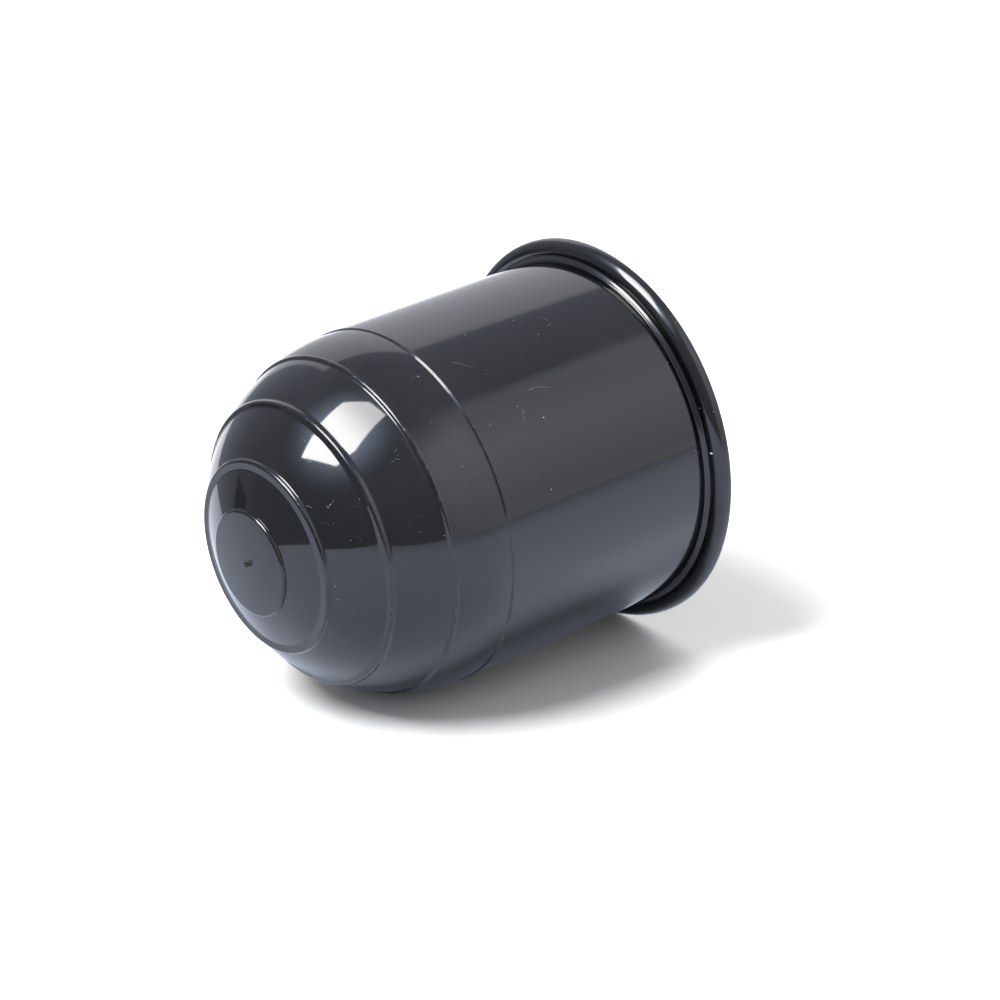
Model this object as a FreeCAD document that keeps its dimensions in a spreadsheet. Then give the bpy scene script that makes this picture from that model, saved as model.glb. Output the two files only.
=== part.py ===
# Tow ball cover: a thin moulded cap that is pushed down over a tow ball.
# It stands on its open rim. The mouth lies in the plane Z = 0, the stepped dome points up,
# and every edge is a circle about the Z axis. All sizes are in millimetres and degrees.
import FreeCAD, Part
import math
import os
import Sketcher

NODE = "ball_cover"
SHEET = "sizes"
STEPS = ("first", "second", "third")

SIZES = (
    ("ball_radius", 25.0, "tow ball that the cover goes over"),
    ("ball_clearance", 0.5, "gap all round between the ball and the bore"),
    ("wall", 2.0, "thickness of the side, the dome and the crown"),
    ("side_height", 40.4, "from the mouth up to the edge where the dome begins"),
    ("lead_in", 0.8, "chamfer that guides the ball into the mouth"),
    ("rim_overhang", 2.85, "how far the rim stands out from the side"),
    ("rim_height", 2.4, "thickness of the rim where it is thickest"),
    ("rim_crown_radius", 1.75, "rounding of the rim's upper outer side"),
    ("rim_edge_radius", 0.45, "rounding of the rim's lower outer edge"),
    ("collar_overhang", 0.55, "how far the small collar above the rim stands out from the side"),
    ("collar_height", 2.85, "where the collar meets the side"),
    ("collar_radius", 0.95, "rounding of the collar"),
    ("dome_edge_width", 0.2, "width of the bevel where the dome begins"),
    ("dome_edge_height", 0.35, "height of the bevel where the dome begins"),
    ("first_step_angle", 71.0, "place of the lowest step, seen from the dome's centre, off the axis"),
    ("second_step_angle", 52.1, "place of the middle step"),
    ("third_step_angle", 32.5, "place of the upper step"),
    ("riser_angle", 4.0, "how far each step's upright face leans inward"),
    ("first_riser_height", 0.47, "height of the lowest step's upright face"),
    ("second_riser_height", 0.8, "height of the middle step's upright face"),
    ("third_riser_height", 0.635, "height of the upper step's upright face"),
    ("first_tread_angle", 27.0, "slope of the lowest step's top"),
    ("second_tread_angle", 18.0, "slope of the middle step's top"),
    ("third_tread_angle", 3.0, "slope of the upper step's top"),
    ("first_tread_width", 0.455, "width of the lowest step's top"),
    ("second_tread_width", 0.88, "width of the middle step's top"),
    ("third_tread_width", 1.42, "width of the upper step's top"),
    ("step_edge_radius", 0.48, "rounding of each step's upper edge"),
    ("step_root_radius", 0.37, "hollow rounding at the foot of the lowest and the upper step"),
    ("step_end_radius", 0.45, "hollow rounding where the top of those two steps ends"),
    ("middle_root_radius", 0.95, "hollow rounding at the foot of the middle step"),
    ("middle_end_radius", 0.75, "hollow rounding where the top of the middle step ends"),
    ("cap_radius", 50.0, "radius of the shallow curve between the upper step and the button"),
    ("crown_drop", 0.9, "how far the button's flat top lies below the full sphere"),
    ("button_radius", 8.15, "round button at the top"),
    ("button_rise", 0.6, "height of the button's upright face"),
    ("button_edge_radius", 0.5, "rounding of the button's upper edge"),
    ("gate_radius", 0.5, "moulding nib in the middle of the button"),
    ("gate_height", 0.3, "height of the nib, and how deep its foot goes into the button"),
    ("gate_tip_radius", 0.25, "width of the nib's broken top"),
)

# Sums that many formulas share, written with the names above.
SHARED = {
    "bore_radius": "( ball_radius + ball_clearance )",
    "side_radius": "( ball_radius + ball_clearance + wall )",
}


def fill_sheet(doc):
    """Put every driving size into the sheet, with its name and what it means."""
    sheet = doc.addObject("Spreadsheet::Sheet", SHEET)
    for row, (name, value, meaning) in enumerate(SIZES, start=1):
        sheet.set("A%d" % row, name)
        sheet.set("B%d" % row, str(value))
        sheet.setAlias("B%d" % row, name)
        sheet.set("C%d" % row, meaning)
    doc.recompute()
    return sheet


def of_sheet(text):
    """A formula written with the bare names of sizes, with the sheet's name put before each."""
    for name, meaning in SHARED.items():
        text = text.replace(name, meaning)
    names = [row[0] for row in SIZES]
    return " ".join(SHEET + "." + word if word in names else word for word in text.split())


class Section:
    """A closed half section in the XZ plane, drawn edge by edge from the mouth up to the crown.

    A point of an edge is 1 for its start, 2 for its end and 3 for the centre of an arc.
    """

    def __init__(self, body, name, start):
        self.sketch = body.newObject("Sketcher::SketchObject", name)
        plane = next(f for f in body.Origin.OriginFeatures if f.Role == "XZ_Plane")
        self.sketch.AttachmentSupport = [(plane, "")]
        self.sketch.MapMode = "FlatFace"
        self.start = start
        self.end = start
        self.last = None

    def vector(self, place):
        radius, height = place
        return FreeCAD.Vector(radius, height, 0)

    def join(self, edge, end):
        """Tie the new edge to the one before it, and move on to its far end."""
        if self.last is not None:
            self.tie("Coincident", self.last, 2, edge, 1)
        self.last = edge
        self.end = end
        return edge

    def line(self, end):
        edge = self.sketch.addGeometry(Part.LineSegment(self.vector(self.end), self.vector(end)))
        return self.join(edge, end)

    def across(self, radius):
        edge = self.line((radius, self.end[1]))
        self.tie("Horizontal", edge)
        return edge

    def upright(self, height):
        edge = self.line((self.end[0], height))
        self.tie("Vertical", edge)
        return edge

    def arc(self, centre, radius, end):
        """An arc that bulges outward, turning anticlockwise from where the outline has come to."""
        circle = Part.Circle(self.vector(centre), FreeCAD.Vector(0, 0, 1), radius)
        first = math.atan2(self.end[1] - centre[1], self.end[0] - centre[0])
        second = math.atan2(end[1] - centre[1], end[0] - centre[0])
        edge = self.sketch.addGeometry(Part.ArcOfCircle(circle, first, second))
        return self.join(edge, end)

    def back_to_origin(self):
        """Close the outline down the axis."""
        edge = self.line((0, 0))
        self.at_origin(edge, 2)

    def guide_circle(self, centre, radius, name, formula):
        """A construction circle that points of the outline lie on."""
        circle = Part.Circle(self.vector(centre), FreeCAD.Vector(0, 0, 1), radius)
        guide = self.sketch.addGeometry(circle, True)
        self.size(name, formula, "Radius", guide, radius)
        return guide

    def guide_ray(self, start, end):
        return self.sketch.addGeometry(Part.LineSegment(self.vector(start), self.vector(end)), True)

    def tie(self, kind, *geometry):
        self.sketch.addConstraint(Sketcher.Constraint(kind, *geometry))

    def at_origin(self, edge, point):
        self.tie("Coincident", edge, point, -1, 1)

    def on_axis(self, edge, point):
        self.tie("PointOnObject", edge, point, -2)

    def size(self, name, formula, kind, *geometry_and_value):
        """A named dimension that follows a formula of the sheet."""
        index = self.sketch.addConstraint(Sketcher.Constraint(kind, *geometry_and_value))
        self.sketch.renameConstraint(index, name)
        self.sketch.setExpression("Constraints." + name, of_sheet(formula))

    def out(self, name, formula, edge, point, value):
        """How far a point of an edge lies from the axis."""
        self.size(name, formula, "DistanceX", -1, 1, edge, point, value)

    def up(self, name, formula, edge, point, value):
        """How high a point of an edge lies above the mouth."""
        self.size(name, formula, "DistanceY", -1, 1, edge, point, value)

    def width(self, name, formula, edge, value):
        """How far an edge comes in towards the axis."""
        self.size(name, formula, "DistanceX", edge, 2, edge, 1, value)

    def rise(self, name, formula, edge, value):
        """How far an edge climbs."""
        self.size(name, formula, "DistanceY", edge, 1, edge, 2, value)

    def heading(self, name, formula, edge, end, start):
        """The direction in which an edge runs, anticlockwise from straight outward."""
        value = math.atan2(end[1] - start[1], end[0] - start[0])
        self.size(name, formula, "Angle", edge, value)


def on_sphere(centre_height, radius, angle):
    """Radius and height of a point on a sphere about the axis, by its angle off the axis."""
    turned = math.radians(angle)
    return radius * math.sin(turned), centre_height + radius * math.cos(turned)


def arc_centre(start, end, radius):
    """Centre of the outward bulging arc of this radius that turns anticlockwise from start to end."""
    middle = ((start[0] + end[0]) / 2, (start[1] + end[1]) / 2)
    chord = (end[0] - start[0], end[1] - start[1])
    length = math.hypot(*chord)
    reach = math.sqrt(radius ** 2 - length ** 2 / 4) / length
    return middle[0] - chord[1] * reach, middle[1] + chord[0] * reach


def crossing(first_centre, first_radius, second_centre, second_radius):
    """The outer one of the two points where the rim's round and the collar's round cross."""
    along = (second_centre[0] - first_centre[0], second_centre[1] - first_centre[1])
    apart = math.hypot(*along)
    reach = (first_radius ** 2 - second_radius ** 2 + apart ** 2) / (2 * apart)
    height = math.sqrt(first_radius ** 2 - reach ** 2)
    unit = (along[0] / apart, along[1] / apart)
    return (first_centre[0] + reach * unit[0] + height * unit[1],
            first_centre[1] + reach * unit[1] - height * unit[0])


def draw_rim(pen, v, side):
    """Flat foot, rolled rim and the small collar above it, up to where the side starts."""
    rim = side + v["rim_overhang"]
    foot = pen.across(rim)
    pen.at_origin(foot, 1)
    pen.out("rim_radius", "side_radius + rim_overhang", foot, 2, rim)

    crown_start = v["rim_height"] - v["rim_crown_radius"]
    edge = pen.upright(crown_start)
    rim_centre = (rim - v["rim_crown_radius"], crown_start)
    collar_centre_radius = side + v["collar_overhang"] - v["collar_radius"]
    drop = math.sqrt(v["collar_radius"] ** 2 - (side - collar_centre_radius) ** 2)
    collar_centre = (collar_centre_radius, v["collar_height"] - drop)
    valley = crossing(rim_centre, v["rim_crown_radius"], collar_centre, v["collar_radius"])
    crown = pen.arc(rim_centre, v["rim_crown_radius"], valley)
    pen.size("rim_crown_radius", "rim_crown_radius", "Radius", crown, v["rim_crown_radius"])
    pen.up("rim_crown_height", "rim_height - rim_crown_radius", crown, 3, crown_start)
    pen.tie("Horizontal", crown, 3, edge, 2)

    collar = pen.arc(collar_centre, v["collar_radius"], (side, v["collar_height"]))
    pen.size("collar_radius", "collar_radius", "Radius", collar, v["collar_radius"])
    pen.out("collar_place", "side_radius + collar_overhang - collar_radius", collar, 3, collar_centre_radius)
    pen.out("side_radius", "side_radius", collar, 2, side)
    pen.up("collar_height", "collar_height", collar, 2, v["collar_height"])


def step_corners(v, side, centre, name):
    """Foot, edge and inner end of a step: its upright face and its top lie between them."""
    foot = on_sphere(centre, side, v[name + "_step_angle"])
    height = v[name + "_riser_height"]
    edge = (foot[0] - height * math.tan(math.radians(v["riser_angle"])), foot[1] + height)
    width = v[name + "_tread_width"]
    end = (edge[0] - width, edge[1] + width * math.tan(math.radians(v[name + "_tread_angle"])))
    return foot, edge, end


def draw_steps(pen, v, side, centre, level):
    """Three bands of the dome, each with a step at its top. Every foot lies on one sphere."""
    sphere = pen.guide_circle((0, centre), side, "dome_radius", "side_radius")
    pen.on_axis(sphere, 3)
    pen.tie("Horizontal", sphere, 3, level, 2)
    for name in STEPS:
        foot, edge, end = step_corners(v, side, centre, name)
        band = pen.arc(arc_centre(pen.end, foot, side), side, foot)
        pen.size(name + "_band", "side_radius", "Radius", band, side)
        pen.tie("PointOnObject", band, 2, sphere)
        ray = pen.guide_ray((0, centre), foot)
        pen.tie("Coincident", ray, 1, sphere, 3)
        pen.tie("Coincident", ray, 2, band, 2)
        pen.heading(name + "_step_angle", "90 - " + name + "_step_angle", ray, foot, (0, centre))
        riser = pen.line(edge)
        pen.rise(name + "_riser_height", name + "_riser_height", riser, v[name + "_riser_height"])
        pen.heading(name + "_riser_angle", "90 + riser_angle", riser, edge, foot)
        tread = pen.line(end)
        pen.width(name + "_tread_width", name + "_tread_width", tread, v[name + "_tread_width"])
        pen.heading(name + "_tread_angle", "180 - " + name + "_tread_angle", tread, end, edge)


def outer_section(body, v):
    """Outside of the cover: rim, collar, side, three stepped bands and the button."""
    side = v["ball_radius"] + v["ball_clearance"] + v["wall"]
    centre = v["side_height"]
    pen = Section(body, "OuterSection", (0, 0))
    draw_rim(pen, v, side)

    wall = pen.upright(centre)
    pen.up("side_height", "side_height", wall, 2, centre)
    bevel = pen.line((side - v["dome_edge_width"], centre + v["dome_edge_height"]))
    pen.width("dome_edge_width", "dome_edge_width", bevel, v["dome_edge_width"])
    pen.rise("dome_edge_height", "dome_edge_height", bevel, v["dome_edge_height"])
    draw_steps(pen, v, side, centre, wall)

    top = centre + side - v["crown_drop"]
    button_foot = (v["button_radius"], top - v["button_rise"])
    cap = pen.arc(arc_centre(pen.end, button_foot, v["cap_radius"]), v["cap_radius"], button_foot)
    pen.size("cap_radius", "cap_radius", "Radius", cap, v["cap_radius"])
    button = pen.upright(top)
    pen.out("button_radius", "button_radius", button, 2, v["button_radius"])
    pen.rise("button_rise", "button_rise", button, v["button_rise"])
    pen.up("crown_top", "side_height + side_radius - crown_drop", button, 2, top)
    face = pen.across(0)
    pen.on_axis(face, 2)
    pen.back_to_origin()
    return pen.sketch


def hollow_section(body, v):
    """Inside of the cover: lead-in, straight bore and a round end with a flat crown."""
    bore = v["ball_radius"] + v["ball_clearance"]
    centre = v["side_height"]
    pen = Section(body, "HollowSection", (0, 0))
    mouth = pen.across(bore + v["lead_in"])
    pen.at_origin(mouth, 1)
    pen.out("mouth_radius", "bore_radius + lead_in", mouth, 2, bore + v["lead_in"])
    lead = pen.line((bore, v["lead_in"]))
    pen.out("bore_radius", "bore_radius", lead, 2, bore)
    pen.up("lead_in", "lead_in", lead, 2, v["lead_in"])
    pen.upright(centre)
    flat = centre + bore - v["crown_drop"]
    flat_radius = math.sqrt(bore ** 2 - (bore - v["crown_drop"]) ** 2)
    dome = pen.arc((0, centre), bore, (flat_radius, flat))
    pen.on_axis(dome, 3)
    pen.tie("Horizontal", dome, 3, dome, 1)
    pen.up("dome_centre", "side_height", dome, 3, centre)
    pen.up("crown_flat", "side_height + bore_radius - crown_drop", dome, 2, flat)
    face = pen.across(0)
    pen.on_axis(face, 2)
    pen.back_to_origin()
    return pen.sketch


def gate_section(body, v):
    """The small broken nib that the moulding gate left in the middle of the button."""
    top = v["side_height"] + v["ball_radius"] + v["ball_clearance"] + v["wall"] - v["crown_drop"]
    foot_height = top - v["gate_height"]
    pen = Section(body, "GateSection", (0, foot_height))
    foot = pen.across(v["gate_radius"])
    pen.on_axis(foot, 1)
    pen.out("gate_radius", "gate_radius", foot, 2, v["gate_radius"])
    pen.up("gate_foot", "side_height + side_radius - crown_drop - gate_height", foot, 1, foot_height)
    slope = pen.line((v["gate_tip_radius"], top + v["gate_height"]))
    pen.rise("gate_rise", "2 * gate_height", slope, 2 * v["gate_height"])
    tip = pen.across(0)
    pen.width("gate_tip_radius", "gate_tip_radius", tip, v["gate_tip_radius"])
    pen.on_axis(tip, 2)
    middle = pen.line(pen.start)
    pen.tie("Coincident", middle, 2, foot, 1)
    return pen.sketch


def turn(body, kind, name, sketch):
    """Turn a half section once round the Z axis, to add it or to cut it away."""
    body.Document.recompute()
    if not sketch.FullyConstrained:
        raise RuntimeError("%s can still move" % sketch.Name)
    feature = body.newObject(kind, name)
    feature.Profile = sketch
    feature.ReferenceAxis = (sketch, ["V_Axis"])
    feature.Angle = 360
    body.Document.recompute()
    return feature


def circles_at(feature, places):
    """Names of the feature's round edges that lie at the given radii and heights."""
    names = []
    for number, edge in enumerate(feature.Shape.Edges, start=1):
        if not isinstance(edge.Curve, Part.Circle):
            continue
        here = (edge.Curve.Radius, edge.Curve.Center.z)
        if any(math.dist(here, place) < 0.001 for place in places):
            names.append("Edge%d" % number)
    if len(names) != len(places):
        raise RuntimeError("%s: %d edges for %d places" % (feature.Name, len(names), len(places)))
    return names


def round_edges(body, base, name, places, radius):
    """Round the circular edges at these places with one radius from the sheet."""
    fillet = body.newObject("PartDesign::Fillet", name)
    fillet.Base = (base, circles_at(base, places))
    fillet.setExpression("Radius", of_sheet(radius))
    body.Document.recompute()
    return fillet


def build_cover(doc, sheet):
    v = {name: float(sheet.get(name)) for name, value, meaning in SIZES}
    side = v["ball_radius"] + v["ball_clearance"] + v["wall"]
    centre = v["side_height"]
    top = centre + side - v["crown_drop"]
    body = doc.addObject("PartDesign::Body", "Cover")
    body.Label = NODE
    body.Placement = FreeCAD.Placement()

    outer = outer_section(body, v)
    feature = turn(body, "PartDesign::Revolution", "OuterShell", outer)
    first, second, third = [step_corners(v, side, centre, name) for name in STEPS]
    edges = [step[1] for step in (first, second, third)]
    feature = round_edges(body, feature, "StepEdges", edges, "step_edge_radius")
    feature = round_edges(body, feature, "StepRoots", [first[0], third[0]], "step_root_radius")
    feature = round_edges(body, feature, "StepEnds", [first[2], third[2]], "step_end_radius")
    feature = round_edges(body, feature, "MiddleRoot", [second[0]], "middle_root_radius")
    feature = round_edges(body, feature, "MiddleEnd", [second[2]], "middle_end_radius")
    feature = round_edges(body, feature, "ButtonEdge", [(v["button_radius"], top)], "button_edge_radius")
    feature = round_edges(body, feature, "RimEdge", [(side + v["rim_overhang"], 0)], "rim_edge_radius")

    hollow = hollow_section(body, v)
    before = feature.Shape.Volume
    feature = turn(body, "PartDesign::Groove", "Hollow", hollow)
    if feature.Shape.Volume > before / 2:
        raise RuntimeError("the hollow was not cut")

    gate = gate_section(body, v)
    turn(body, "PartDesign::Revolution", "GateNib", gate)
    return body


def check(doc, body):
    """Stop if any object failed, or if the cover is not one closed solid."""
    for item in doc.Objects:
        if "Invalid" in item.State or "Error" in item.State:
            raise RuntimeError("%s failed: %s" % (item.Name, item.State))
    shape = body.Shape
    if shape.isNull() or not shape.isValid() or len(shape.Solids) != 1:
        raise RuntimeError("the cover is not one valid solid")


def main():
    doc = FreeCAD.newDocument("TowBallCover")
    sheet = fill_sheet(doc)
    body = build_cover(doc, sheet)
    doc.recompute()
    check(doc, body)
    print("%s: volume %.0f mm3, %d faces" % (body.Label, body.Shape.Volume, len(body.Shape.Faces)))
    os.makedirs("parts", exist_ok=True)
    body.Shape.exportStep(os.path.join("parts", body.Label + ".step"))


main()
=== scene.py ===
# Looks of the tow ball cover: its moulded plastic, the studio that it mirrors, and the camera.
# Sizes are in millimetres and degrees, and turn into metres where a mesh or a lamp is made. The
# numbers inside the materials are in metres.
import math
from collections import namedtuple
import bpy
from mathutils import Matrix, Vector, noise
from mathutils.bvhtree import BVHTree


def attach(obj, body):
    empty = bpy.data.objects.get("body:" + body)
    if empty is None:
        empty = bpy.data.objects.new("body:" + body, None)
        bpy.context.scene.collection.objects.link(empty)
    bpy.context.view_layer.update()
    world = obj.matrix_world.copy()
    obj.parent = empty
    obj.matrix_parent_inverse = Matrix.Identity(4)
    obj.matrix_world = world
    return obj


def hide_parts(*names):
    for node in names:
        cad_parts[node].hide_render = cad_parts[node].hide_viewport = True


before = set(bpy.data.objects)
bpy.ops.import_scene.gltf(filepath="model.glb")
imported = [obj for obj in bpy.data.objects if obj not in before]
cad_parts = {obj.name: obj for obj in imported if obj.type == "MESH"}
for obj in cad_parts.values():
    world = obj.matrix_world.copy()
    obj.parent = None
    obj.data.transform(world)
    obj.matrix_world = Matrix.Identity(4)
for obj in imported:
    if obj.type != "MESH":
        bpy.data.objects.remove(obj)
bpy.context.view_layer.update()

MM = 0.001

# The cover's section, as the real thing measures.
BORE = 25.5
WALL = 2.0
SIDE = BORE + WALL
SIDE_HEIGHT = 40.4
LEAD_IN = 0.8
LEAD_IN_RADIUS = 0.1
RIM_OVERHANG = 2.85
RIM = SIDE + RIM_OVERHANG
RIM_HEIGHT = 2.4
RIM_CROWN_RADIUS = 1.75
RIM_EDGE_RADIUS = 0.45
RIM_CENTRE = (RIM - RIM_CROWN_RADIUS, RIM_HEIGHT - RIM_CROWN_RADIUS)
COLLAR_OVERHANG = 0.55
COLLAR = SIDE + COLLAR_OVERHANG
COLLAR_HEIGHT = 2.85
COLLAR_RADIUS = 0.95
VALLEY_RADIUS = 0.25
DOME_CENTRE = (0, SIDE_HEIGHT)
DOME_EDGE = (0.2, 0.35)
DOME_EDGE_RADIUS = 0.1
RISER_ANGLE = 4.0
# Each step: its place off the axis, the height of its upright face, the slope and width of its
# top, and the roundings at its foot and at the inner end of its top.
Step = namedtuple("Step", "angle height slope width root_radius end_radius")
STEPS = (
    Step(71.0, 0.47, 27.0, 0.455, 0.37, 0.45),
    Step(52.1, 0.8, 18.0, 0.88, 0.95, 0.75),
    Step(32.5, 0.635, 3.0, 1.42, 0.37, 0.45),
)
STEP_EDGE_RADIUS = 0.48
CAP_RADIUS = 50.0
# How far the button's face and the crown inside stay under a full round.
FLATTENING = 0.9
TOP = SIDE_HEIGHT + SIDE - FLATTENING
CROWN_INSIDE = SIDE_HEIGHT + BORE - FLATTENING
CROWN_CORNER_RADIUS = 0.3
BUTTON = 8.15
BUTTON_RISE = 0.6
BUTTON_EDGE_RADIUS = 0.5
BUTTON_ROOT_RADIUS = 0.08
# The button's face is a trace domed. Its mesh is flat, and its normals follow this radius.
BUTTON_DOMING = 60.0

# How finely the cover is meshed, and the most of a stretch that a rounding at its end takes.
COLUMNS = 384
ROUNDING_STEP = 10
CORNER_SHARE = 0.7
# Heights that differ by less than this count as one.
SAME_HEIGHT = 0.001


class Stretch:
    """A straight or round stretch of the section, with the radius of the rounding at its end."""

    def __init__(self, start, end, corner=0.0, centre=None, steps=1):
        self.start = Vector(start)
        self.end = Vector(end)
        self.corner = corner
        self.centre = Vector(centre) if centre else None
        self.steps = steps
        if self.centre:
            first = self.start - self.centre
            second = self.end - self.centre
            self.turn = first.angle_signed(second) * -1
            self.length = abs(self.turn) * first.length
        else:
            self.length = (self.end - self.start).length

    def at(self, along):
        """Point and direction at a distance along the stretch."""
        if not self.centre:
            direction = (self.end - self.start).normalized()
            return self.start + direction * along, direction
        angle = self.turn * along / self.length
        arm = self.start - self.centre
        turned = Vector((arm.x * math.cos(angle) - arm.y * math.sin(angle),
                         arm.x * math.sin(angle) + arm.y * math.cos(angle)))
        direction = Vector((-turned.y, turned.x)).normalized() * (1 if self.turn > 0 else -1)
        return self.centre + turned, direction


def section_points(stretches):
    """Points and outward normals along the stretches, with the corners between them rounded."""
    cuts = [0]
    for before, after in zip(stretches, stretches[1:]):
        turn = before.at(before.length)[1].angle(after.at(0)[1])
        longest = min(before.length, after.length) * CORNER_SHARE
        cuts.append(min(before.corner * math.tan(turn / 2), longest))
    cuts.append(0)
    found = []

    def put(place, direction):
        found.append((place.x, place.y, direction.y, -direction.x))

    for i, stretch in enumerate(stretches):
        first = cuts[i]
        last = stretch.length - cuts[i + 1]
        for k in range(stretch.steps + 1):
            put(*stretch.at(first + (last - first) * k / stretch.steps))
        if cuts[i + 1] == 0:
            if i + 1 < len(stretches):
                found.pop()
            continue
        start, coming = stretch.at(last)
        end, going = stretches[i + 1].at(cuts[i + 1])
        turn = coming.angle(going)
        # A cubic curve that follows the round between the two directions.
        handle = cuts[i + 1] / math.tan(turn / 2) * math.tan(turn / 4) * 4 / 3
        bend = (start, start + coming * handle, end - going * handle, end)
        corner_steps = max(2, round(math.degrees(turn) / ROUNDING_STEP))
        for k in range(1, corner_steps):
            t = k / corner_steps
            once = [a.lerp(b, t) for a, b in zip(bend, bend[1:])]
            twice = [a.lerp(b, t) for a, b in zip(once, once[1:])]
            put(twice[0].lerp(twice[1], t), (twice[1] - twice[0]).normalized())
    return found


def on_circle(centre, radius, angle):
    """Point of a circle, by its angle off the upright."""
    turned = math.radians(angle)
    return centre[0] + radius * math.sin(turned), centre[1] + radius * math.cos(turned)


def arc_centre(start, end, radius):
    """Centre of the outward bulging arc of this radius from start up to end."""
    middle = (Vector(start) + Vector(end)) / 2
    chord = Vector(end) - Vector(start)
    reach = math.sqrt(radius ** 2 - chord.length_squared / 4) / chord.length
    return middle + Vector((-chord.y, chord.x)) * reach


def crossing(first, first_radius, second, second_radius):
    """Where the rim's round meets the collar's round."""
    along = Vector(second) - Vector(first)
    reach = (first_radius ** 2 - second_radius ** 2 + along.length_squared) / (2 * along.length)
    height = math.sqrt(first_radius ** 2 - reach ** 2)
    unit = along.normalized()
    return Vector(first) + unit * reach + Vector((unit.y, -unit.x)) * height


def step_corners(step):
    """A step's foot, its edge above, which leans in a little, and the inner end of its top."""
    foot = on_circle(DOME_CENTRE, SIDE, step.angle)
    edge = (foot[0] - step.height * math.tan(math.radians(RISER_ANGLE)), foot[1] + step.height)
    rise = step.width * math.tan(math.radians(step.slope))
    return foot, edge, (edge[0] - step.width, edge[1] + rise)


def cover_section():
    """The whole section: from the inner crown down the bore, round the rim and up to the button."""
    crown_edge = (math.sqrt(BORE ** 2 - (CROWN_INSIDE - SIDE_HEIGHT) ** 2), CROWN_INSIDE)
    mouth = BORE + LEAD_IN
    collar_x = COLLAR - COLLAR_RADIUS
    collar_centre = (collar_x, COLLAR_HEIGHT - math.sqrt(COLLAR_RADIUS ** 2 - (SIDE - collar_x) ** 2))
    valley = crossing(RIM_CENTRE, RIM_CROWN_RADIUS, collar_centre, COLLAR_RADIUS)
    dome_start = (SIDE - DOME_EDGE[0], SIDE_HEIGHT + DOME_EDGE[1])
    path = [
        Stretch((0, CROWN_INSIDE), crown_edge, CROWN_CORNER_RADIUS, steps=3),
        Stretch(crown_edge, (BORE, SIDE_HEIGHT), centre=DOME_CENTRE, steps=16),
        Stretch((BORE, SIDE_HEIGHT), (BORE, LEAD_IN), LEAD_IN_RADIUS, steps=4),
        Stretch((BORE, LEAD_IN), (mouth, 0), LEAD_IN_RADIUS),
        Stretch((mouth, 0), (RIM, 0), RIM_EDGE_RADIUS),
        Stretch((RIM, 0), (RIM, RIM_CENTRE[1])),
        Stretch((RIM, RIM_CENTRE[1]), valley, VALLEY_RADIUS, RIM_CENTRE, 14),
        Stretch(valley, (SIDE, COLLAR_HEIGHT), VALLEY_RADIUS, collar_centre, 6),
        Stretch((SIDE, COLLAR_HEIGHT), (SIDE, SIDE_HEIGHT), DOME_EDGE_RADIUS, steps=8),
        Stretch((SIDE, SIDE_HEIGHT), dome_start, DOME_EDGE_RADIUS),
    ]
    for step in STEPS:
        start = path[-1].end
        foot, edge, end = step_corners(step)
        path.append(Stretch(start, foot, step.root_radius, arc_centre(start, foot, SIDE), 12))
        path.append(Stretch(foot, edge, STEP_EDGE_RADIUS))
        path.append(Stretch(edge, end, step.end_radius))
    start = path[-1].end
    foot = (BUTTON, TOP - BUTTON_RISE)
    path.append(Stretch(start, foot, BUTTON_ROOT_RADIUS, arc_centre(start, foot, CAP_RADIUS), 8))
    path.append(Stretch(foot, (BUTTON, TOP), BUTTON_EDGE_RADIUS))
    path.append(Stretch((BUTTON, TOP), (0, TOP), steps=6))
    points = []
    for r, z, normal_r, normal_z in section_points(path):
        if abs(z - TOP) < SAME_HEIGHT:
            normal_r = r / BUTTON_DOMING
            normal_z = 1.0
        points.append((r, z, normal_r, normal_z))
    return points


def revolve(points, columns):
    """Vertices, faces and normals of a section turned once round the axis, closed at both ends."""
    rings = points[1:-1]
    verts = []
    normals = []
    for r, z, normal_r, normal_z in rings:
        for k in range(columns):
            c = math.cos(2 * math.pi * k / columns)
            s = math.sin(2 * math.pi * k / columns)
            verts.append((r * c, r * s, z))
            normals.append((normal_r * c, normal_r * s, normal_z))
    faces = []
    for i in range(len(rings) - 1):
        for k in range(columns):
            here = i * columns + k
            beside = i * columns + (k + 1) % columns
            faces.append((here, beside, beside + columns, here + columns))
    first = len(verts)
    verts += [(0, 0, points[0][1]), (0, 0, points[-1][1])]
    normals += [(0, 0, -1), (0, 0, 1)]
    last_ring = (len(rings) - 1) * columns
    for k in range(columns):
        beside = (k + 1) % columns
        faces.append((first, beside, k))
        faces.append((first + 1, last_ring + k, last_ring + beside))
    return verts, faces, normals


def make_piece(name, verts, faces, normals=None):
    """A smooth object from vertices in millimetres."""
    mesh = bpy.data.meshes.new(name)
    mesh.from_pydata([tuple(x * MM for x in v) for v in verts], [], faces)
    mesh.polygons.foreach_set("use_smooth", [True] * len(mesh.polygons))
    mesh.update()
    if normals:
        mesh.normals_split_custom_set_from_vertices(normals)
    piece = bpy.data.objects.new(name, mesh)
    bpy.context.scene.collection.objects.link(piece)
    return piece


# The camera, worked out from the photograph's circular edges. The picture is square, and its
# width is in pixels.
CAMERA_PLACE = Vector((-112.762, -403.402, 318.382))
CAMERA_AIM = Vector((0.21045, 0.78858, -0.5778))
CAMERA_UP = Vector((0.8411, -0.44729, -0.3041))
CAMERA_LENS = 122.45
SENSOR_WIDTH = 36.0
PICTURE_WIDTH = 1000


def camera_axes():
    """The camera's right, its up and its backward direction."""
    back = -CAMERA_AIM.normalized()
    right = CAMERA_UP.cross(back).normalized()
    return right, back.cross(right), back


def facing(right, top, back):
    """The turn of a camera or lamp that looks away from back."""
    return Matrix((right, top, back)).transposed().to_4x4()


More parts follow.
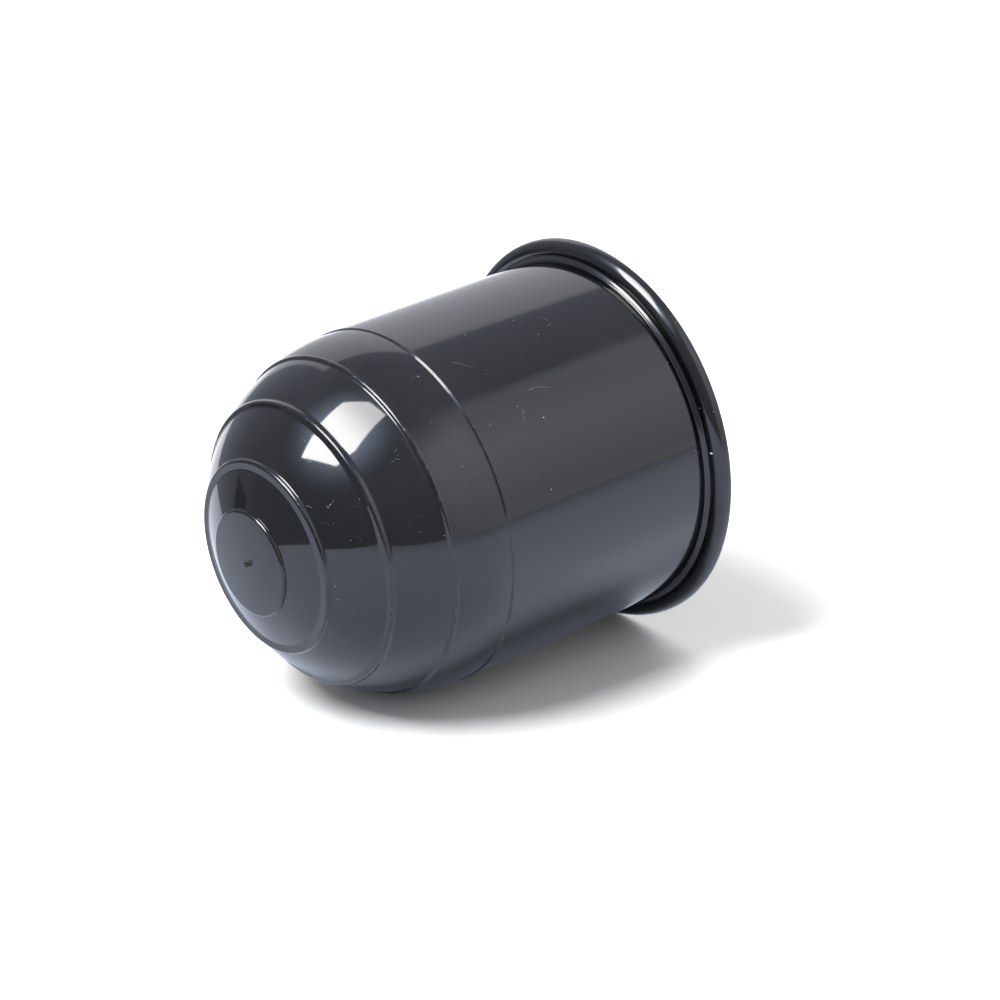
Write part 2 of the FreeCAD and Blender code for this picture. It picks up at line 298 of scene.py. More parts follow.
def make_camera():
    data = bpy.data.cameras.new("camera")
    data.lens = CAMERA_LENS
    data.sensor_width = SENSOR_WIDTH
    data.clip_start = 0.01
    data.clip_end = 20.0
    camera = bpy.data.objects.new("camera", data)
    bpy.context.scene.collection.objects.link(camera)
    camera.matrix_world = facing(*camera_axes())
    camera.location = CAMERA_PLACE * MM
    bpy.context.scene.camera = camera


class Surface:
    """The cover's outside, to lay things on where the camera sees them."""

    def __init__(self, verts, faces):
        self.tree = BVHTree.FromPolygons(verts, faces)
        self.side, self.top, self.back = camera_axes()

    def under(self, x, y):
        """Point and outward normal under a pixel of the picture."""
        focal = CAMERA_LENS / SENSOR_WIDTH * PICTURE_WIDTH
        middle = (PICTURE_WIDTH - 1) / 2
        ray = self.side * ((x - middle) / focal) - self.top * ((y - middle) / focal) - self.back
        place, normal = self.tree.ray_cast(CAMERA_PLACE, ray.normalized())[:2]
        return place, normal if normal.dot(ray) < 0 else -normal


def closed_rings(levels, around):
    """Faces over rings of vertices that lie between a first and a last point."""
    faces = []
    last = 1 + levels * around
    for k in range(around):
        beside = (k + 1) % around
        faces.append((0, 1 + beside, 1 + k))
        for level in range(levels - 1):
            first = 1 + level * around
            faces.append((first + k, first + beside, first + around + beside, first + around + k))
        faces.append((last - around + k, last - around + beside, last))
    return faces


def gathered(parts):
    """One list of vertices and faces out of several."""
    verts = []
    faces = []
    for part_verts, part_faces in parts:
        first = len(verts)
        verts += part_verts
        faces += [tuple(first + i for i in face) for face in part_faces]
    return verts, faces


# Where the tear of the moulding gate begins and ends in the picture, its half width and its height.
TEAR_ENDS = ((244.2, 565.4), (251.6, 560.6))
TEAR_HALF_WIDTH = 0.36
TEAR_HEIGHT = 0.29
# Each ring of the stub: its share of the tear's length and width, and its height.
TEAR_RINGS = ((1.0, -0.1), (1.0, 0.02), (0.86, 0.15), (0.66, 0.24), (0.36, 0.2), (0.2, 0.08))
TEAR_COLUMNS = 28


def gate_nib(surface):
    """The torn stub of the moulding gate: low and ragged, and longer than it is wide."""
    start, normal = surface.under(*TEAR_ENDS[0])
    end = surface.under(*TEAR_ENDS[1])[0]
    centre = (start + end) / 2
    along = (end - start) / 2
    across = normal.cross(along).normalized() * TEAR_HALF_WIDTH
    verts = [centre - normal * 0.12]
    for level, (reach, height) in enumerate(TEAR_RINGS):
        for k in range(TEAR_COLUMNS):
            angle = 2 * math.pi * k / TEAR_COLUMNS
            turn = Vector((math.cos(angle), math.sin(angle), 0))
            ragged = reach * (1 + 0.9 * noise.noise(turn * 3.2 + Vector((0, 0, level * 0.4))))
            tear = 0.35 * noise.noise(turn * 4 + Vector((4, 2, level * 0.9))) if level > 1 else 0
            spread = along * math.cos(angle) + across * math.sin(angle)
            verts.append(centre + spread * ragged + normal * min(height + tear, TEAR_HEIGHT))
    verts.append(centre + normal * 0.05)
    return verts, closed_rings(len(TEAR_RINGS), TEAR_COLUMNS)


# Dust on the plastic: where the camera sees each speck, in pixels of the picture, and its size.
SPECKS = (
    (711, 453, 0.52), (699, 408, 0.16), (695, 450, 0.13), (543, 417, 0.28), (551, 489, 0.23),
    (517, 406, 0.18), (538, 477, 0.13), (465, 334, 0.17), (462, 466, 0.12), (669, 470, 0.12),
    (661, 465, 0.1), (667, 362, 0.12), (675, 322, 0.11), (418, 376, 0.19), (430, 422, 0.12),
    (359, 499, 0.12), (350, 540, 0.12), (444, 535, 0.13), (713, 411, 0.13), (645, 535, 0.12),
    (513, 320, 0.12), (522, 322, 0.09), (525, 332, 0.11), (538, 334, 0.13), (537, 342, 0.1),
    (491, 342, 0.08), (434, 328, 0.09), (522, 358, 0.08), (490, 406, 0.09), (485, 370, 0.08),
    (486, 374, 0.09), (401, 400, 0.08), (420, 532, 0.1), (422, 475, 0.1), (397, 455, 0.1),
    (330, 504, 0.14), (333, 523, 0.12), (335, 586, 0.13), (337, 599, 0.12), (290, 602, 0.1),
    (251, 577, 0.07), (241.5, 567.2, 0.14), (244.6, 566.8, 0.12), (247.8, 565.2, 0.11),
)
# Each ring of a speck: its share of the speck's half length and width, and of its height.
SPECK_RINGS = ((0.8, -0.35), (1.0, 0.0), (0.85, 0.55), (0.45, 0.9))
SPECK_COLUMNS = 9
# Scratches, as lines of pixels of the picture.
SCRATCHES = (
    ((452.5, 362), (462, 363.5), (471.5, 366.7)),
    ((528.3, 390), (533, 387.4), (539, 386.2), (549, 387)),
    ((523, 408.7), (522.4, 415), (523.8, 420.8)),
    ((488.8, 425.3), (491.2, 422.5)),
    ((541.3, 316.3), (546.7, 320)),
    ((545.8, 325.8), (550, 323.3)),
    ((391, 462), (396, 458), (399, 459)),
    ((394, 451), (397, 448)),
    ((361, 433), (369, 428)),
    ((302, 437), (305, 441)),
    ((308, 457), (311, 462)),
    ((327, 507), (331, 503), (333.5, 499)),
    ((325, 505), (329, 508)),
    ((306, 505), (311, 507)),
)
SCRATCH_WIDTH = 0.022
SCRATCH_RISE = 0.004
SCRATCH_STEPS = 4


def lump(place, normal, along, length, width, height):
    """Vertices and faces of a small closed lump, a little sunk in what it lies on."""
    across = normal.cross(along)
    verts = [place - normal * height * 0.6]
    for level, (reach, rise) in enumerate(SPECK_RINGS):
        for k in range(SPECK_COLUMNS):
            angle = 2 * math.pi * k / SPECK_COLUMNS
            turn = Vector((math.cos(angle), math.sin(angle), level))
            ragged = reach * (1 + 0.45 * noise.noise(place * 7 + turn))
            spread = along * math.cos(angle) * length + across * math.sin(angle) * width
            verts.append(place + spread * ragged + normal * rise * height)
    verts.append(place + normal * height)
    return verts, closed_rings(len(SPECK_RINGS), SPECK_COLUMNS)


def sliver(surface, pixels, width, height):
    """A thin raised scratch that follows the surface under a line of pixels."""
    spots = []
    for (x0, y0), (x1, y1) in zip(pixels, pixels[1:]):
        for step in range(SCRATCH_STEPS):
            t = step / SCRATCH_STEPS
            spots.append(surface.under(x0 + (x1 - x0) * t, y0 + (y1 - y0) * t))
    spots.append(surface.under(*pixels[-1]))
    verts = [spots[0][0] - (spots[1][0] - spots[0][0]) * 0.3]
    for i, (place, normal) in enumerate(spots):
        along = spots[min(i + 1, len(spots) - 1)][0] - spots[max(i - 1, 0)][0]
        across = normal.cross(along).normalized() * width / 2
        verts += [place + across, place + normal * height, place - across, place - normal * height]
    verts.append(spots[-1][0] + (spots[-1][0] - spots[-2][0]) * 0.3)
    return verts, closed_rings(len(spots), 4)


def dust(surface):
    """Specks of dust and the pale edges of scratches."""
    parts = []
    for x, y, size in SPECKS:
        place, normal = surface.under(x, y)
        along = (normal.cross(surface.top) + surface.top * noise.noise(place)).normalized()
        along = (along - normal * along.dot(normal)).normalized()
        parts.append(lump(place, normal, along, size * 0.5, size * 0.38, size * 0.22))
    for pixels in SCRATCHES:
        parts.append(sliver(surface, pixels, SCRATCH_WIDTH, SCRATCH_RISE))
    return gathered(parts)


class Maths:
    """Short names for the nodes of one node tree. A value is a number, a tuple or a socket."""

    def __init__(self, tree):
        self.tree = tree

    def node(self, kind):
        return self.tree.nodes.new(kind)

    def put(self, value, socket):
        if isinstance(value, bpy.types.NodeSocket):
            self.tree.links.new(value, socket)
        elif socket.type == "RGBA":
            socket.default_value = (*value, 1.0)
        else:
            socket.default_value = value

    def run(self, operation, *values):
        node = self.node("ShaderNodeMath")
        node.operation = operation
        for socket, value in zip(node.inputs, values):
            self.put(value, socket)
        return node.outputs[0]

    def times(self, first, *others):
        for other in others:
            first = self.run("MULTIPLY", first, other)
        return first

    def vector_node(self, operation, values):
        node = self.node("ShaderNodeVectorMath")
        node.operation = operation
        for socket, value in zip(node.inputs, values):
            self.put(value, socket)
        return node

    def vector(self, operation, *values):
        return self.vector_node(operation, values).outputs["Vector"]

    def dot(self, vector, direction):
        return self.vector_node("DOT_PRODUCT", (vector, direction)).outputs["Value"]

    def length(self, vector):
        return self.vector_node("LENGTH", (vector,)).outputs["Value"]

    def scaled(self, colour, level):
        """A colour times a level."""
        node = self.vector_node("SCALE", (colour,))
        self.put(level, node.inputs["Scale"])
        return node.outputs["Vector"]

    def fade(self, value, low, high, at_low=0.0, at_high=1.0):
        """A smooth change from one level to another, between a low and a high value."""
        node = self.node("ShaderNodeMapRange")
        node.interpolation_type = "SMOOTHSTEP"
        self.put(value, node.inputs["Value"])
        self.put(low, node.inputs["From Min"])
        self.put(high, node.inputs["From Max"])
        self.put(at_low, node.inputs["To Min"])
        self.put(at_high, node.inputs["To Max"])
        return node.outputs["Result"]

    def mix(self, factor, first, second, blend="MIX"):
        """A blend of two colours."""
        node = self.node("ShaderNodeMix")
        node.data_type = "RGBA"
        node.blend_type = blend
        self.put(factor, node.inputs["Factor"])
        self.put(first, node.inputs["A"])
        self.put(second, node.inputs["B"])
        return node.outputs["Result"]

    def noise(self, place, scale, detail):
        node = self.node("ShaderNodeTexNoise")
        self.put(place, node.inputs["Vector"])
        self.put(scale, node.inputs["Scale"])
        self.put(detail, node.inputs["Detail"])
        return node.outputs["Fac"]

    def cracks(self, place, width):
        """Thin lines between the cells of a pattern."""
        node = self.node("ShaderNodeTexVoronoi")
        node.feature = "DISTANCE_TO_EDGE"
        self.put(place, node.inputs["Vector"])
        self.put(1.0, node.inputs["Scale"])
        return self.fade(node.outputs["Distance"], width * 0.4, width, 1, 0)

    def dots(self, place, scale, size):
        """Small dots, one in a few of the cells."""
        node = self.node("ShaderNodeTexVoronoi")
        self.put(place, node.inputs["Vector"])
        self.put(scale, node.inputs["Scale"])
        kept = self.fade(self.dot(node.outputs["Color"], (1, 0, 0)), 0.7, 0.72)
        return self.times(kept, self.fade(node.outputs["Distance"], size * 0.6, size, 1, 0))


def new_material(name):
    """A material, the maths of its empty node tree and the socket for its surface."""
    material = bpy.data.materials.new(name)
    material.use_nodes = True
    material.node_tree.nodes.clear()
    m = Maths(material.node_tree)
    return material, m, m.node("ShaderNodeOutputMaterial").inputs["Surface"]


# The side that the photograph shows carries the marks: what lies this way from the axis.
SHOWN_SIDE = (-0.27, -0.963, 0)
AXIS = (0, 0, 1)
# The plastic's colour where it is clean and smudged, and that of its marks and the fine dust.
CLEAN_COLOUR = (0.0018, 0.002, 0.0027)
SMUDGED_COLOUR = (0.0075, 0.008, 0.009)
HAIR_COLOUR = (0.045, 0.048, 0.057)
SCUFF_COLOUR = (0.04, 0.042, 0.05)
MOTE_COLOUR = (0.22, 0.22, 0.21)
SMUDGE_STRENGTH = 0.7
HAIR_STRENGTH = 0.4
SCUFF_STRENGTH = 0.6
MOTE_STRENGTH = 0.8
# The roughness of the polished plastic, and what its smudges, marks, edges, rim and dust add.
POLISH = 0.055
SMUDGE_ROUGHNESS = 0.05
MARK_ROUGHNESS = 0.12
WEAR_ROUGHNESS = 0.07
RIM_ROUGHNESS = 0.05
MOTE_ROUGHNESS = 0.5
# Metres of height in the plastic's waviness, and the shares of it that the marks are deep.
WAVE_HEIGHT = 0.00003
HAIR_DEPTH = 0.02
SCUFF_DEPTH = 0.03
PLASTIC_IOR = 1.5


def shown_side(m, place):
    """1 on the side that the photograph shows and on the top, and 0 on the hidden side."""
    side = m.fade(m.dot(place, SHOWN_SIDE), 0.0, 0.006)
    return m.run("MAXIMUM", side, m.fade(m.dot(place, AXIS), 0.055, 0.06))


def handled(m, place, shown):
    """Patches where the marks gather, stronger on the dome than on the side."""
    dome = m.fade(m.dot(place, AXIS), 0.038, 0.042, 0.45, 1)
    return m.times(shown, dome, m.fade(m.noise(place, 95, 2), 0.42, 0.6))


def hair_scratches(m, place):
    """Short fine scratches in two directions."""
    steep = m.cracks(m.vector("MULTIPLY", place, (520, 130, 170)), 0.012)
    level = m.cracks(m.vector("MULTIPLY", place, (150, 160, 610)), 0.012)
    broken = m.fade(m.noise(place, 520, 1), 0.54, 0.62)
    return m.times(m.run("MAXIMUM", steep, level), broken)


def edge_distance(m, place):
    """Distance from a place to the nearest of the outside's edges."""
    reach = m.length(m.vector("MULTIPLY", place, (1, 1, 0)))
    height = m.dot(place, AXIS)
    edges = [(SIDE, SIDE_HEIGHT)]
    for step in STEPS:
        r, z = on_circle(DOME_CENTRE, SIDE, step.angle)
        edges.append((r - STEP_EDGE_RADIUS * 0.3, z + step.height - STEP_EDGE_RADIUS * 0.2))
    nearest = None
    for r, z in edges:
        out = m.run("SUBTRACT", reach, r * MM)
        above = m.run("SUBTRACT", height, z * MM)
        squares = m.run("ADD", m.times(out, out), m.times(above, above))
        nearest = squares if nearest is None else m.run("MINIMUM", nearest, squares)
    return m.run("SQRT", nearest)


def black_plastic():
    """Polished plastic: a trace wavy, smudged in places, with hair scratches, worn edges and fine
    dust on the side that the photograph shows."""
    material, m, surface = new_material("black_plastic")
    place = m.node("ShaderNodeTexCoord").outputs["Object"]
    shown = shown_side(m, place)
    used = handled(m, place, shown)
    hair = m.times(hair_scratches(m, place), used)
    wear = m.times(m.fade(edge_distance(m, place), 0.0001, 0.0004, 1, 0), shown)
    scuffs = m.times(wear, m.fade(m.noise(place, 900, 2), 0.54, 0.68))
    motes = m.times(m.dots(place, 620, 0.05), used)
    blotches = m.noise(m.vector("MULTIPLY", place, (1, 1, 0.6)), 130, 3)
    smudge = m.times(shown, m.fade(blotches, 0.5, 0.72))
    colour = m.mix(m.times(smudge, SMUDGE_STRENGTH), CLEAN_COLOUR, SMUDGED_COLOUR)
    colour = m.mix(m.times(hair, HAIR_STRENGTH), colour, HAIR_COLOUR)
    colour = m.mix(m.times(scuffs, SCUFF_STRENGTH), colour, SCUFF_COLOUR)
    colour = m.mix(m.times(motes, MOTE_STRENGTH), colour, MOTE_COLOUR)
    rough = m.run("MULTIPLY_ADD", smudge, SMUDGE_ROUGHNESS, POLISH)
    rough = m.run("MULTIPLY_ADD", m.run("MAXIMUM", hair, scuffs), MARK_ROUGHNESS, rough)
    rough = m.run("MULTIPLY_ADD", wear, WEAR_ROUGHNESS, rough)
    rough = m.run("ADD", rough, m.fade(m.dot(place, AXIS), 0.003, 0.0042, RIM_ROUGHNESS, 0))
    rough = m.run("MULTIPLY_ADD", motes, MOTE_ROUGHNESS, rough)
    height = m.run("MULTIPLY_ADD", hair, -HAIR_DEPTH, m.noise(place, 48, 1))
    height = m.run("MULTIPLY_ADD", scuffs, -SCUFF_DEPTH, height)
    bump = m.node("ShaderNodeBump")
    m.put(1.0, bump.inputs["Strength"])
    m.put(WAVE_HEIGHT, bump.inputs["Distance"])
    m.put(height, bump.inputs["Height"])
    shader = m.node("ShaderNodeBsdfPrincipled")
    m.put(PLASTIC_IOR, shader.inputs["IOR"])
    m.put(colour, shader.inputs["Base Color"])
    m.put(rough, shader.inputs["Roughness"])
    m.put(bump.outputs["Normal"], shader.inputs["Normal"])
    m.put(shader.outputs["BSDF"], surface)
    return material


def torn_plastic():
    """The rough tear of the gate, with a few paler threads. A low specular level darkens it as painted
    shade.
    """
    material, m, surface = new_material("torn_plastic")
    place = m.node("ShaderNodeTexCoord").outputs["Object"]
    threads = m.fade(m.noise(m.vector("MULTIPLY", place, (1, 1, 2)), 4200, 1), 0.54, 0.6)
    shader = m.node("ShaderNodeBsdfPrincipled")
    m.put(0.45, shader.inputs["Roughness"])
    # Painted shade: the low specular level darkens the stub in place of the shade of its steep sides.
    m.put(0.22, shader.inputs["Specular IOR Level"])
    m.put(m.mix(threads, (0.002, 0.002, 0.0025), (0.2, 0.2, 0.205)), shader.inputs["Base Color"])
    m.put(shader.outputs["BSDF"], surface)
    return material


def pale_dust():
    """Whitish grit."""
    material, m, surface = new_material("pale_dust")
    place = m.node("ShaderNodeTexCoord").outputs["Object"]
    grain = m.fade(m.noise(place, 6000, 1), 0.35, 0.65)
    shader = m.node("ShaderNodeBsdfPrincipled")
    m.put(0.8, shader.inputs["Roughness"])
    m.put(m.mix(grain, (0.55, 0.55, 0.54), (0.8, 0.8, 0.8)), shader.inputs["Base Color"])
    m.put(shader.outputs["BSDF"], surface)
    return material


def make_cover():
    """The moulding, the torn stub of its gate, and the dust and scratches on it."""
    verts, faces, normals = revolve(cover_section(), COLUMNS)
    cover = make_piece("ball_cover_moulding", verts, faces, normals)
    cover.data.materials.append(black_plastic())
    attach(cover, "root")
    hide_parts("ball_cover")
    surface = Surface([Vector(v) for v in verts], faces)
    nib = make_piece("gate_nib", *gate_nib(surface))
    nib.data.materials.append(torn_plastic())
    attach(nib, "root")
    specks = make_piece("dust_specks", *dust(surface))
    specks.data.materials.append(pale_dust())
    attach(specks, "root")


# The studio. Its floor lies against the rim and the edge of the dome, on the side of the cover
# that FLOOR_AZIMUTH names, and up is away from it. What the plastic mirrors stands on a level of
# its own, which leans by ROOM_TILT off the cover's side, the other way from the floor.
FLOOR_AZIMUTH = 135.0
ROOM_TILT = 0.94
# The floor keeps this far off the cover.
FLOOR_GAP = 0.05
# The middle of the cover, which the lamps face.
MIDDLE = Vector((0, 0, TOP / 2))


def upright(away, tilt):
    """The way up from a ground that leans by this much off the cover's side."""
    return Vector((0, 0, 1)) * math.sin(tilt) - away * math.cos(tilt)


def floor_frame():
    """The point of the floor under the cover, the floor's up and the room's up."""
    azimuth = math.radians(FLOOR_AZIMUTH)
    away = Vector((math.cos(azimuth), math.sin(azimuth), 0))
    # The floor's line in the section touches the rim's round and the dome's edge.
    reach = Vector((SIDE, SIDE_HEIGHT)) - Vector(RIM_CENTRE)
    tilt = math.atan2(reach.x, reach.y) - math.asin(RIM_CROWN_RADIUS / reach.length)
    spot = away * SIDE + Vector((0, 0, SIDE_HEIGHT))
    return spot, upright(away, tilt), upright(away, math.radians(ROOM_TILT))


def studio_direction(up, azimuth, elevation=0):
    """A direction in the studio: azimuth 0 is away from the camera, and 90 is to its right."""
    forward = (CAMERA_AIM - up * CAMERA_AIM.dot(up)).normalized()
    right = forward.cross(up)
    a = math.radians(azimuth)
    e = math.radians(elevation)
    return (forward * math.cos(a) + right * math.sin(a)) * math.cos(e) + up * math.sin(e)


# The paper's outline round the cover, to the right and forward, as the plastic mirrors it.
FLOOR_OUTLINE = (
    (-150, -1400), (-165, -70), (-110, 45), (-140, 110), (-560, 1390), (1500, 1500), (1500, -1400),
)
# The paper's level as the camera sees it, as the lamps light it, and as the plastic mirrors it,
# which is dimmer at the left. Its mirrored tint changes straight ahead.
FLOOR_LEVEL = 1.7
PAPER_LEVEL = 0.8
# Painted light: the paper as mirrored is brighter than white, bluish, and dimmer at the left and
# further off.
MIRRORED_FLOOR_LEVEL = 1.83
DIM_FLOOR_LEVEL = 1.38
MIRRORED_FLOOR_LIGHT_TINT = (0.92, 1.0, 1.2)
MIRRORED_FLOOR_LIGHT_TINT_AHEAD = (0.98, 1.0, 1.05)


def floor_material(spot, up):
    """White paper. The picture shows it a little overexposed, as the photograph does."""
    material, m, surface = new_material("white_paper")
    rays = m.node("ShaderNodeLightPath").outputs
    geometry = m.node("ShaderNodeNewGeometry").outputs
    away = m.vector("SUBTRACT", geometry["Position"], spot * MM)
    unit = m.vector("NORMALIZE", away)
    # Painted light on the mirrored paper: a bluish tint that changes straight ahead, and a level that
    # falls at the left and further off.
    ahead = m.fade(m.dot(unit, studio_direction(up, -10)), 0.6, 0.9)
    left = m.dot(unit, studio_direction(up, -88))
    level = m.fade(left, 0.8, 1.0, MIRRORED_FLOOR_LEVEL, DIM_FLOOR_LEVEL)
    level = m.times(level, m.fade(m.length(away), 0.15, 0.6, 1.0, 0.8))
    mirrored = m.scaled(m.mix(ahead, MIRRORED_FLOOR_LIGHT_TINT, MIRRORED_FLOOR_LIGHT_TINT_AHEAD), level)
    plain = m.mix(rays["Is Camera Ray"], (PAPER_LEVEL,) * 3, (FLOOR_LEVEL,) * 3)
    diffuse = m.node("ShaderNodeBsdfDiffuse")
    m.put(m.mix(rays["Is Glossy Ray"], plain, mirrored), diffuse.inputs["Color"])
    clear = m.node("ShaderNodeBsdfTransparent")
    sides = m.node("ShaderNodeMixShader")
    m.put(geometry["Backfacing"], sides.inputs["Fac"])
    m.put(diffuse.outputs["BSDF"], sides.inputs[1])
    m.put(clear.outputs["BSDF"], sides.inputs[2])
    m.put(sides.outputs["Shader"], surface)
    return material


def make_floor(spot, up):
    """White paper. It ends at the left of the cover, where the plastic mirrors the room beside it."""
    right = studio_direction(up, 90)
    forward = studio_direction(up, 0)
    corners = [tuple(spot + right * x + forward * y) for x, y in FLOOR_OUTLINE]
    floor = make_piece("floor", corners, [tuple(range(len(corners)))])
    if floor.data.polygons[0].normal.dot(up) < 0:
        floor.data.flip_normals()
    floor.data.materials.append(floor_material(spot, up))


# The softbox's outline as the cover's dome mirrors it, seen from the cover at a distance of 1,
# and its glow at its lower and its upper end.
SOFTBOX_OUTLINE = ((-0.21, -0.42), (0.22, -0.29), (0.27, 0.0), (0.13, 0.5), (-0.12, 0.46), (-0.3, 0.27))
SOFTBOX_AZIMUTH = -119.0
SOFTBOX_ELEVATION = 63.0
SOFTBOX_DISTANCE = 1500.0
SOFTBOX_GLOW = (24.0, 13.0)
HALO_TINT = (0.81, 1.0, 1.35)
HALO_LEVEL = 3.6

# The room that the plastic mirrors: its level low and high, what the ceiling and the right side
# add, and the share that a dark stand at the left takes away.
ROOM_TINT = (0.93, 1.0, 1.18)
ROOM_LEVELS = (0.53, 0.74)
CEILING_GAIN = 0.12
RIGHT_GAIN = 0.07
STAND_AZIMUTH = -72
STAND_SHADE = 0.5
# The paper sweep behind the cover and to its right: its level low and high, where it is
# brightest, the share of that elsewhere, and its ends, each a line through two directions.
SWEEP_TINT = (0.99, 1.0, 1.09)
SWEEP_LEVELS = (1.4, 2.12)
SWEEP_AZIMUTH = 118
SWEEP_SHARE = 0.74
SWEEP_LEFT_END = ((-20, 5), (-31, 50))
SWEEP_RIGHT_END = ((147, 50), (141, 0))
# The height of the sweep's top and the softness of it, behind the cover, and what each gains at
# the right.
SWEEP_TOP = (0.65, 0.09)
SWEEP_TOP_SOFTNESS = (0.035, 0.2)
# What the sweep behind the cover and the room add to the softbox's light on the floor.
SWEEP_FILL = 1.58
ROOM_FILL = 0.25
WHITE = (1.0, 1.0, 1.0)


class Directions:
    """Values that depend on the direction in which the world is seen."""

    def __init__(self, m, up):
        self.m = m
        self.up = up
        self.direction = m.node("ShaderNodeTexCoord").outputs["Generated"]
        self.height = m.dot(self.direction, up)

    def towards(self, azimuth, elevation=0):
        """Cosine of the angle from a direction of the studio."""
        return self.m.dot(self.direction, studio_direction(self.up, azimuth, elevation))

    def turned_to(self, azimuth):
        """Cosine of the level turn from an azimuth."""
        level_part = self.m.run("SUBTRACT", 1.0, self.m.times(self.height, self.height))
        return self.m.run("DIVIDE", self.towards(azimuth), self.m.run("SQRT", level_part))

    def past(self, first, second):
        """1 past the plane through two directions of the studio, and 0 before it."""
        plane = studio_direction(self.up, *first).cross(studio_direction(self.up, *second))
        return self.m.fade(self.m.dot(self.direction, plane.normalized()), -0.01, 0.01)


def room_light(m, seen):
    """A dim room, lighter upwards and to the right."""
    wall = m.fade(seen.height, 0.1, 0.75, *ROOM_LEVELS)
    level = m.run("ADD", wall, m.fade(seen.height, 0.8, 1.0, 0.0, CEILING_GAIN))
    level = m.run("ADD", level, m.fade(seen.towards(90), -0.2, 0.4, 0.0, RIGHT_GAIN))
    stand = m.fade(seen.turned_to(STAND_AZIMUTH), 0.993, 0.996)
    stand = m.times(stand, m.fade(seen.height, 0.02, 0.06, STAND_SHADE, 0.0))
    return m.scaled(ROOM_TINT, m.times(level, m.run("SUBTRACT", 1.0, stand)))


def sweep_light(m, seen):
    """The paper sweep, brightest high up and at the right."""
    strength = m.fade(seen.turned_to(SWEEP_AZIMUTH), 0.82, 0.985, SWEEP_SHARE, 1.0)
    return m.scaled(SWEEP_TINT, m.times(m.fade(seen.height, 0.0, 0.7, *SWEEP_LEVELS), strength))


def sweep_extent(m, seen):
    """1 on the sweep. Its top is sharp and low behind the cover, and higher and soft at the right."""
    lifted = m.fade(seen.turned_to(SWEEP_AZIMUTH), 0.5, 0.9)
    top, top_gain = SWEEP_TOP
    softness, softness_gain = SWEEP_TOP_SOFTNESS
    over = m.run("SUBTRACT", seen.height, m.run("MULTIPLY_ADD", lifted, top_gain, top))
    over = m.run("DIVIDE", over, m.run("MULTIPLY_ADD", lifted, softness_gain, softness))
    ends = m.times(seen.past(*SWEEP_LEFT_END), seen.past(*SWEEP_RIGHT_END))
    return m.times(m.fade(over, 0.0, 1.0, 1.0, 0.0), ends)


def softbox_haze(m, seen):
    """Haze of the softbox around it."""
    near = m.run("MULTIPLY_ADD", seen.towards(SOFTBOX_AZIMUTH, SOFTBOX_ELEVATION), 5.0, -3.9)
    haze = m.run("POWER", m.run("MAXIMUM", near, 0.0), 3.0)
    return m.scaled(HALO_TINT, m.times(haze, HALO_LEVEL))


def fill_light(m, seen):
    """The light that reaches into the shadow on the floor, mostly from behind the cover."""
    behind = m.fade(seen.towards(60), -0.02, 0.02)
    behind = m.times(behind, m.fade(seen.height, 0.84, 0.89, 1.0, 0.0))
    sweep = m.times(behind, m.fade(seen.towards(90), 0.0, 0.7, SWEEP_FILL, 0.0))
    return m.scaled(WHITE, m.run("ADD", sweep, ROOM_FILL))


def make_world(up, floor_up):
    """White where the camera sees it. Gloss mirrors a dim room with a bright paper sweep behind
    the cover and to its right, and a part of both fills the shadows."""
    world = bpy.data.worlds.new("studio")
    bpy.context.scene.world = world
    world.use_nodes = True
    world.node_tree.nodes.clear()
    m = Maths(world.node_tree)
    seen = Directions(m, up)
    surroundings = m.mix(sweep_extent(m, seen), room_light(m, seen), sweep_light(m, seen))
    mirrored = m.mix(1.0, surroundings, softbox_haze(m, seen), "ADD")
    rays = m.node("ShaderNodeLightPath").outputs
    lit = m.mix(rays["Is Glossy Ray"], fill_light(m, Directions(m, floor_up)), mirrored)
    plain = m.run("MAXIMUM", rays["Is Camera Ray"], rays["Is Transmission Ray"])
    background = m.node("ShaderNodeBackground")
    m.put(m.mix(plain, lit, WHITE), background.inputs["Color"])
    m.put(background.outputs["Background"], m.node("ShaderNodeOutputWorld").inputs["Surface"])


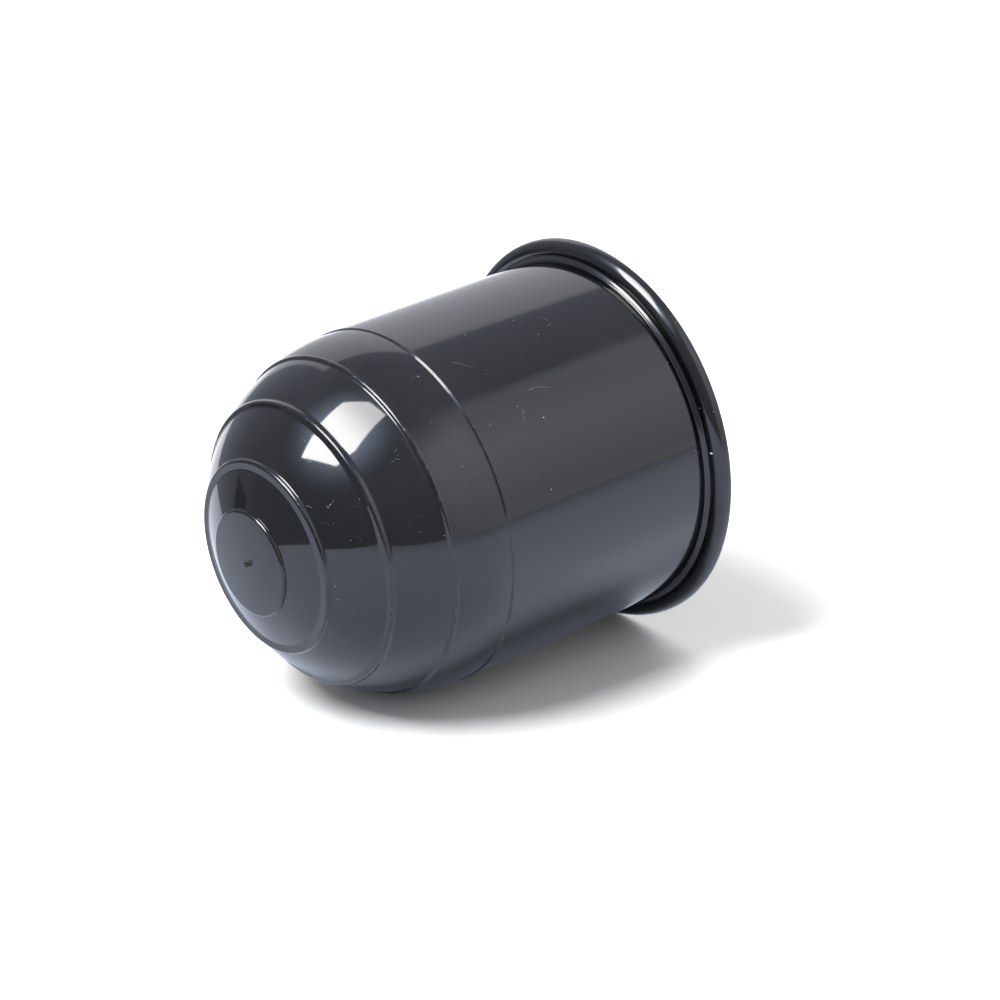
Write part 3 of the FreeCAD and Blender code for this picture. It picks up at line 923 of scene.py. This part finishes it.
def glow_material(place, along):
    """Brightest at its lower end."""
    material, m, surface = new_material("softbox_glow")
    spot = m.node("ShaderNodeNewGeometry").outputs["Position"]
    height = m.dot(spot, along / (SOFTBOX_DISTANCE * MM))
    height = m.run("SUBTRACT", height, place.dot(along) / SOFTBOX_DISTANCE)
    glow = m.node("ShaderNodeEmission")
    m.put(m.fade(height, 0.0, 0.42, *SOFTBOX_GLOW), glow.inputs["Strength"])
    m.put(glow.outputs["Emission"], surface)
    return material


def make_glow(up):
    """The softbox as the plastic mirrors it."""
    towards = studio_direction(up, SOFTBOX_AZIMUTH, SOFTBOX_ELEVATION)
    place = MIDDLE + towards * SOFTBOX_DISTANCE
    along = (up - towards * up.dot(towards)).normalized()
    across = along.cross(towards)
    corners = [place + (across * x + along * y) * SOFTBOX_DISTANCE for x, y in SOFTBOX_OUTLINE]
    card = make_piece("softbox_glow", [tuple(c) for c in corners], [tuple(range(len(corners)))])
    card.data.materials.append(glow_material(place, along))
    card.visible_camera = False
    card.visible_diffuse = False
    card.visible_shadow = False


# The lamp that throws the shadow: it is round and stands a little lower than the glow, and
# KEY_SHARE is the share of white that it gives the floor.
KEY_AZIMUTH = -125.6
KEY_ELEVATION = 54.3
KEY_HALF_ANGLE = 12.5
KEY_DISTANCE = 3000.0
KEY_SHARE = 0.54


def make_lamp(up, floor_up):
    """The softbox as the lamp that lights the floor and the cover."""
    half_angle = math.radians(KEY_HALF_ANGLE)
    towards = studio_direction(floor_up, KEY_AZIMUTH, KEY_ELEVATION)
    data = bpy.data.lights.new("softbox", "AREA")
    data.shape = "DISK"
    data.size = 2 * math.tan(half_angle) * KEY_DISTANCE * MM
    solid_angle = 2 * math.pi * (1 - math.cos(half_angle))
    radiance = KEY_SHARE * math.pi / (solid_angle * towards.dot(floor_up))
    area = math.pi * data.size ** 2 / 4
    data.energy = radiance * math.pi * area
    lamp = bpy.data.objects.new("softbox", data)
    bpy.context.scene.collection.objects.link(lamp)
    top = (up - towards * up.dot(towards)).normalized()
    lamp.matrix_world = facing(top.cross(towards), top, towards)
    lamp.location = (MIDDLE + towards * KEY_DISTANCE) * MM
    lamp.visible_camera = False
    lamp.visible_glossy = False


def make_stage():
    spot, floor_up, up = floor_frame()
    make_floor(spot - floor_up * FLOOR_GAP, floor_up)
    make_world(up, floor_up)
    make_glow(up)
    make_lamp(up, floor_up)


make_camera()
make_stage()
make_cover()
bpy.context.scene.view_settings.view_transform = "Standard"
